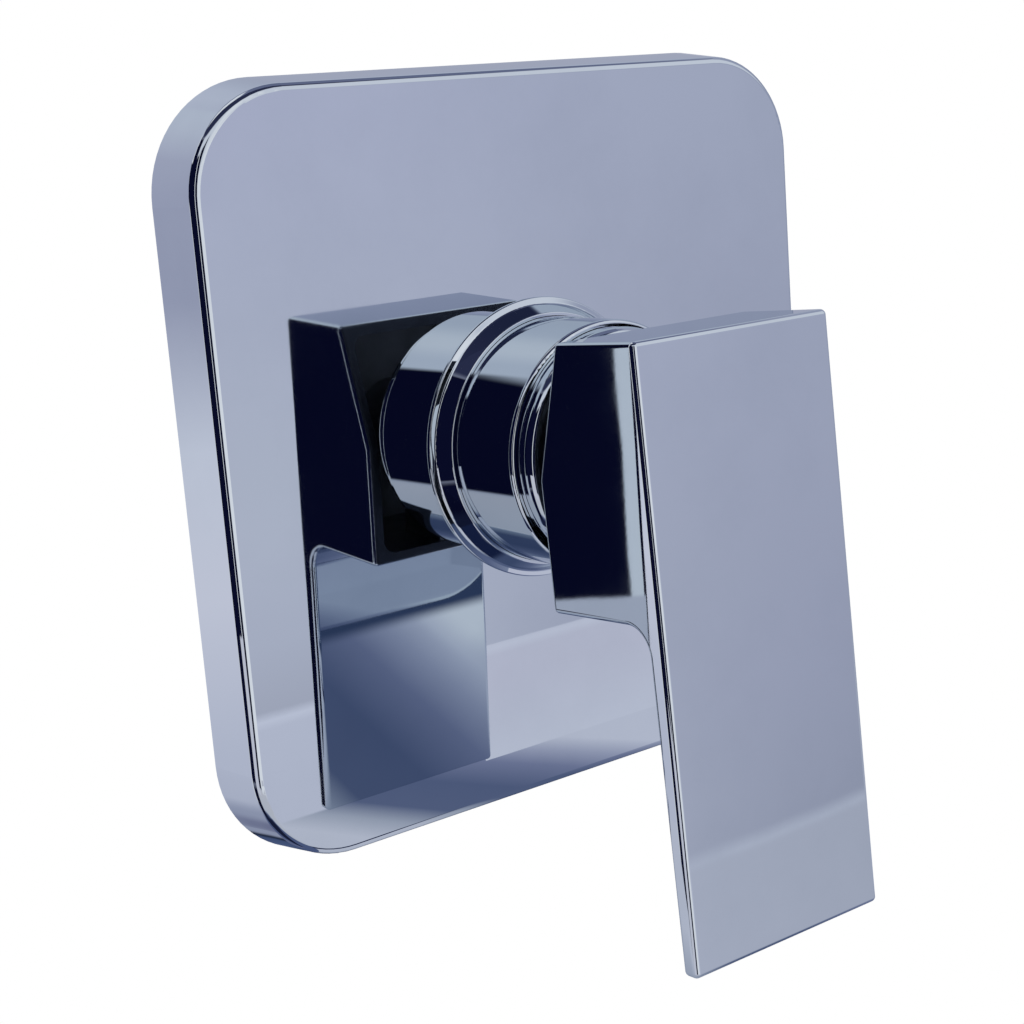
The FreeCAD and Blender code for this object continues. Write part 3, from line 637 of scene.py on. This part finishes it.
# Ground in the part's painted shadow.
shadowed_ground_blue = (0.085, 0.12, 0.24)
dim_ceiling = (0.17, 0.19, 0.30)
back_wall = [(13, (0.50, 0.52, 0.63)), (35, (0.68, 0.70, 0.80))]
dome_zones = [
    # Ground, painted dark as the part's shadow on the table below, lighter in a strip at the back.
    ("rise", everywhere, (-100, -46), (1, 4), (0.10, 0.13, 0.25)),
    ("rise", (-181, -165), (-100, -42), (6, 3), (0.21, 0.216, 0.336)),
    # Dark ceiling, dim at the right and the back, with a lamp at the back.
    ("rise", everywhere, (49, 100), (1, 4), (0.03, 0.035, 0.08)),
    ("rise", (66, 200), (47, 100), (5, 3), dim_ceiling),
    ("rise", (-200, -150), (47, 100), (5, 3), dim_ceiling),
    ("rise", (160, 200), (54, 84), (5, 3), pale),
    ("rise", (-200, -128), (54, 84), (6, 3), pale),
    # Wall at the back.
    ("rise", (120, 200), (2, 44), (6, 5), back_wall),
    ("rise", (-200, -165), (2, 44), (6, 5), back_wall),
    # Wall in front: its foot, its upper part and a lit strip in the middle.
    ("rise", (-75, 22), (-46, -25), (2, 2), [(-46, (0.60, 0.62, 0.68)), (-28, (0.64, 0.63, 0.68))]),
    ("rise", (-75, 75), (13, 49), (3, 2), light_grey),
    ("rise", (-2, 18), (13, 46), (8, 4), pale),
    ("rise", (-17, 22), (-26, 13), (1.5, 2), pale),
    # Flat wall in front at the right, with a low horizon for the plate and one for the lever.
    ("level", (22, 75), (-1.2, 0.24), (1, 0.02), [
        (-0.40, (0.645, 0.656, 0.765)), (-0.20, (0.60, 0.617, 0.716)), (0.04, (0.58, 0.586, 0.731))]),
    ("level", (18, 31), (-1.2, -0.27), (2, 0.04), [
        (-0.40, (0.645, 0.656, 0.765)), (-0.370, (0.65, 0.66, 0.77)), (-0.364, (0.73, 0.74, 0.85)),
        (-0.357, (0.52, 0.53, 0.625)), (-0.31, (0.575, 0.59, 0.695))]),
    ("level", (36, 76), (-1.2, 0.24), (9, 0.02), [
        (-0.60, (0.52, 0.534, 0.627)), (-0.425, (0.52, 0.534, 0.627)), (-0.420, (0.58, 0.60, 0.70)),
        (-0.410, (0.41, 0.425, 0.53)), (-0.30, (0.45, 0.46, 0.58)), (-0.20, (0.47, 0.48, 0.60)),
        (0.04, (0.52, 0.534, 0.658))]),
    # Dark screen at the left, with light above it, a gap in it and light at its foot.
    ("rise", (-123, -15.5), (-25, 49), (1.5, 0.8), navy),
    ("rise", (-70, -8), (33.5, 49), (3, 2.5), light_grey),
    ("rise", (-46, -40.15), (-25, 33), (0.06, 0.6), pale),
    ("rise", (-75, -36.5), (-31, -14.85), (0.3, 0.08), (0.72, 0.71, 0.78)),
    ("rise", (-123, -75), (-60, -25), (2, 4), navy),
    ("rise", (-123, -25), (-100, -50), (6, 4), (0.012, 0.016, 0.045)),
    # Low dark spot at the back.
    ("rise", (154, 172), (-43, -30), (3, 2), (0.02, 0.03, 0.06)),
    # Wall at the left, with a horizon and a lit edge beside the screen.
    ("rise", (-176, -128), (-38, 49), (3, 3), [
        (-26, (0.62, 0.63, 0.74)), (-19, (0.65, 0.66, 0.77)), (-14, (0.79, 0.78, 0.87)),
        (-9, (0.76, 0.77, 0.86)), (-4, (0.44, 0.45, 0.575)), (25, (0.50, 0.51, 0.63)),
        (42, (0.66, 0.69, 0.78))]),
    ("rise", (-129, -123), (-38, 49), (0.8, 2), pale),
    # Low window at the back on the right, with the ground beside and below it in painted shadow of the part.
    ("rise", (128, 160), (-34, -10), (3, 5), pale),
    ("rise", (144.3, 166), (-50, -14), (2.2, 3), shadowed_ground_blue),
    ("rise", (128, 166), (-60, -25), (4, 2.2), shadowed_ground_blue),
]
dome = stage_object("dome", dome_points(97, 49), 97, 49, dome_glow(hazy_grey, dome_zones))
seen_by_metal(dome)

table_near = -0.1305
table_far = 0.03
table_left = -0.06
table_right = 0.10
table_middle = -0.05
table_height = -0.0755
table_slope = 0.199


def table_glow(stops):
    """Glow of the table top: colours are stops across it, and it fades in from its near edge.

    Its light and shade are painted. It is painted lit in front of the plate's right half. Painted shade lies
    under the plate and in a strip at the left, where 0.183 x + y is close to -0.0812."""
    fade = 0.003
    lit_from = (-0.092, -0.070)
    lit_side = (0.042, 0.058)
    strip_slope = 0.183
    strip_place = 0.0812
    strip_width = (0.0030, 0.0018)
    strip_end = (-0.006, -0.016)
    shade_strip_colour = (0.017, 0.027, 0.08)
    shade_from = (-0.0625, -0.0560)
    shade_colour = (0.05, 0.075, 0.15)
    made, tree = stage_material("table_glow")
    x, y = own_axes(tree)[:2]
    # Painted shadow of the lever: the stops are light at both sides and dark under the lever.
    colour = ramp_colours(tree, x, stops)
    # Painted light: pale in front of the plate's right half.
    beyond = between(tree, y, *lit_from, smooth=True)
    aside = between(tree, x, *lit_side, smooth=True)
    colour = blend_colours(tree, reckon(tree, "MULTIPLY", beyond, aside), colour, pale)
    # Painted shade in a strip at the left.
    across = reckon(tree, "MULTIPLY_ADD", x, strip_slope, y)
    off_strip = reckon(tree, "ABSOLUTE", reckon(tree, "ADD", across, strip_place))
    close = between(tree, off_strip, *strip_width, smooth=True)
    left = between(tree, x, *strip_end, smooth=True)
    colour = blend_colours(tree, reckon(tree, "MULTIPLY", close, left), colour, shade_strip_colour)
    # Painted shade under the plate.
    shade = between(tree, y, *shade_from, smooth=True)
    colour = blend_colours(tree, shade, colour, shade_colour)
    glow = add(tree, "Emission", {"Color": colour})
    clear = add(tree, "BsdfTransparent")
    mask = between(tree, y, table_near, table_near + fade, smooth=True)
    mixed = add(tree, "MixShader", {0: mask, 1: clear.outputs[0], 2: glow.outputs[0]})
    add(tree, "OutputMaterial", {"Surface": mixed.outputs[0]})
    return made


def table_points(columns, rows):
    """Slanting table top just under the lever's tip and the plate's lower edge: columns of x, rows of y.

    z is the height plus the slope times the distance in y from the middle."""
    along = np.linspace(table_near, table_far, rows)
    x, y = np.meshgrid(np.linspace(table_left, table_right, columns), along)
    return np.stack([x, y, table_height + table_slope * (y - table_middle)], 2).reshape(-1, 3)


# Table's colours across x, with the lever's shadow painted dark under the lever.
table_lever_shadow = [
    (-0.035, (0.65, 0.66, 0.75)), (-0.024, (0.43, 0.46, 0.55)), (-0.014, (0.12, 0.15, 0.26)),
    (0.005, (0.11, 0.14, 0.25)), (0.023, (0.215, 0.24, 0.375)), (0.035, (0.41, 0.43, 0.56)),
    (0.047, (0.66, 0.67, 0.77))]
table_card = stage_object("table_card", table_points(9, 9), 9, 9, table_glow(table_lever_shadow))
seen_by_metal(table_card)

card_left = 0.0232
card_right = 0.10
card_foot = -0.0905
card_top = -0.0609
card_middle = -0.0448
card_depth = -0.1222
card_lean = 0.068


def wall_glow(stops):
    """Glow of the upright card: colours are stops of its height."""
    made, tree = stage_material("wall_glow")
    z = own_axes(tree)[2]
    glow = add(tree, "Emission", {"Color": ramp_colours(tree, z, stops)})
    add(tree, "OutputMaterial", {"Surface": glow.outputs[0]})
    return made


def wall_points(columns, rows):
    """Card that stands on the table at the right of the lever and leans as it does: columns of x, rows of z.

    y is the depth plus the lean times the distance in z from the middle."""
    x, z = np.meshgrid(np.linspace(card_left, card_right, columns), np.linspace(card_foot, card_top, rows))
    return np.stack([x, card_depth + card_lean * (z - card_middle), z], 2).reshape(-1, 3)


wall_shades = [
    (card_foot, (0.69, 0.70, 0.80)), (-0.070, (0.66, 0.65, 0.76)), (-0.064, (0.66, 0.65, 0.76)),
    (-0.062, (0.72, 0.725, 0.83)), (card_top, (0.70, 0.705, 0.81))]
wall_card = stage_object("wall_card", wall_points(3, 3), 3, 3, wall_glow(wall_shades))
seen_by_metal(wall_card)

floor_level = -0.40
floor_reach = 0.55


def pale_floor():
    """Pale floor that catches the part's shadow near its middle and turns into the white surround."""
    fade_from = 0.1 * floor_reach
    fade_to = 0.8 * floor_reach
    made, tree = stage_material("pale_floor")
    place = add(tree, "TexCoord").outputs["Object"]
    away = add(tree, "VectorMath", {0: place, 1: (0, 0, floor_level)}, operation="DISTANCE")
    fade = between(tree, away.outputs["Value"], fade_from, fade_to, smooth=True)
    speckle = add(tree, "TexNoise", {"Vector": place, "Scale": 60.0, "Detail": 3.0})
    colour = blend_colours(tree, speckle.outputs["Fac"], (0.90, 0.90, 0.91), (0.94, 0.94, 0.94))
    matt = add(tree, "BsdfDiffuse", {"Color": colour})
    white = add(tree, "Emission", {"Color": (1, 1, 1, 1)})
    mixed = add(tree, "MixShader", {0: fade, 1: matt.outputs[0], 2: white.outputs[0]})
    add(tree, "OutputMaterial", {"Surface": mixed.outputs[0]})
    return made


def floor_points(columns, rows):
    """Flat disc: columns of turn, rows of rings from close to the middle outwards."""
    inmost = 0.00001
    turn, out = np.meshgrid(np.linspace(0, 2 * np.pi, columns), np.linspace(inmost, floor_reach, rows))
    level = np.full(turn.shape, floor_level)
    return np.stack([out * np.cos(turn), out * np.sin(turn), level], 2).reshape(-1, 3)


floor = stage_object("floor", floor_points(97, 13), 97, 13, pale_floor())
floor.visible_glossy = False


def pose_matrix(right, above, back, place):
    """Pose at a place, with the directions of X, Y and Z."""
    return Matrix([[right[i], above[i], back[i], place[i]] for i in range(3)] + [[0, 0, 0, 1]])


def look_from(place, aim):
    """Pose at a place with -Z towards the aim and +Y as near to up as it can be."""
    back = np.array(place, float) - np.array(aim, float)
    back /= np.linalg.norm(back)
    right = np.cross((0, 0, 1), back)
    right /= np.linalg.norm(right)
    return pose_matrix(right, np.cross(back, right), back, place)


def soft_lamp(name, place, aim, size, power):
    """Square soft lamp at a place, turned to an aim point."""
    lamp = bpy.data.lights.new(name, "AREA")
    lamp.size = size
    lamp.energy = power
    made = bpy.data.objects.new(name, lamp)
    made.matrix_world = look_from(place, aim)
    made.visible_camera = False
    made.visible_glossy = False
    bpy.context.scene.collection.objects.link(made)


middle = (0.0, -0.06, 0.0)
soft_lamp("key_lamp", (0.9, -1.2, 1.6), middle, size=0.9, power=9.0)
soft_lamp("back_lamp", (-0.8, 1.3, 1.2), middle, size=0.9, power=7.0)

surround = bpy.data.worlds.new("surround")
bpy.context.scene.world = surround
surround.use_nodes = True
sky = surround.node_tree
sky.nodes.clear()
ray = add(sky, "LightPath")
seen = reckon(sky, "MAXIMUM", ray.outputs["Is Camera Ray"], ray.outputs["Is Glossy Ray"])
seen = reckon(sky, "MAXIMUM", seen, ray.outputs["Is Transmission Ray"])
plain = add(sky, "Background", {"Color": (0.97, 0.98, 1.0, 1), "Strength": 0.75})
white = add(sky, "Background", {"Color": (1, 1, 1, 1), "Strength": 1.0})
mixed = add(sky, "MixShader", {0: seen, 1: plain.outputs[0], 2: white.outputs[0]})
add(sky, "OutputWorld", {"Surface": mixed.outputs[0]})


# Camera: at the left of the part and a little above it, with a short telephoto lens.
camera = bpy.data.objects.new("camera", bpy.data.cameras.new("camera"))
bpy.context.scene.collection.objects.link(camera)
camera.data.lens = 66.36
camera.data.sensor_width = 36.0
camera.data.clip_start = 0.01
camera_place = (-0.23096, -0.36302, 0.06441)
camera_right = (0.792987, -0.604556, -0.075389)
camera_up = (0.183342, 0.118798, 0.975845)
camera_back = (-0.580997, -0.787654, 0.205046)
camera.matrix_world = pose_matrix(camera_right, camera_up, camera_back, camera_place)
bpy.context.scene.camera = camera
bpy.context.scene.view_settings.view_transform = "Standard"
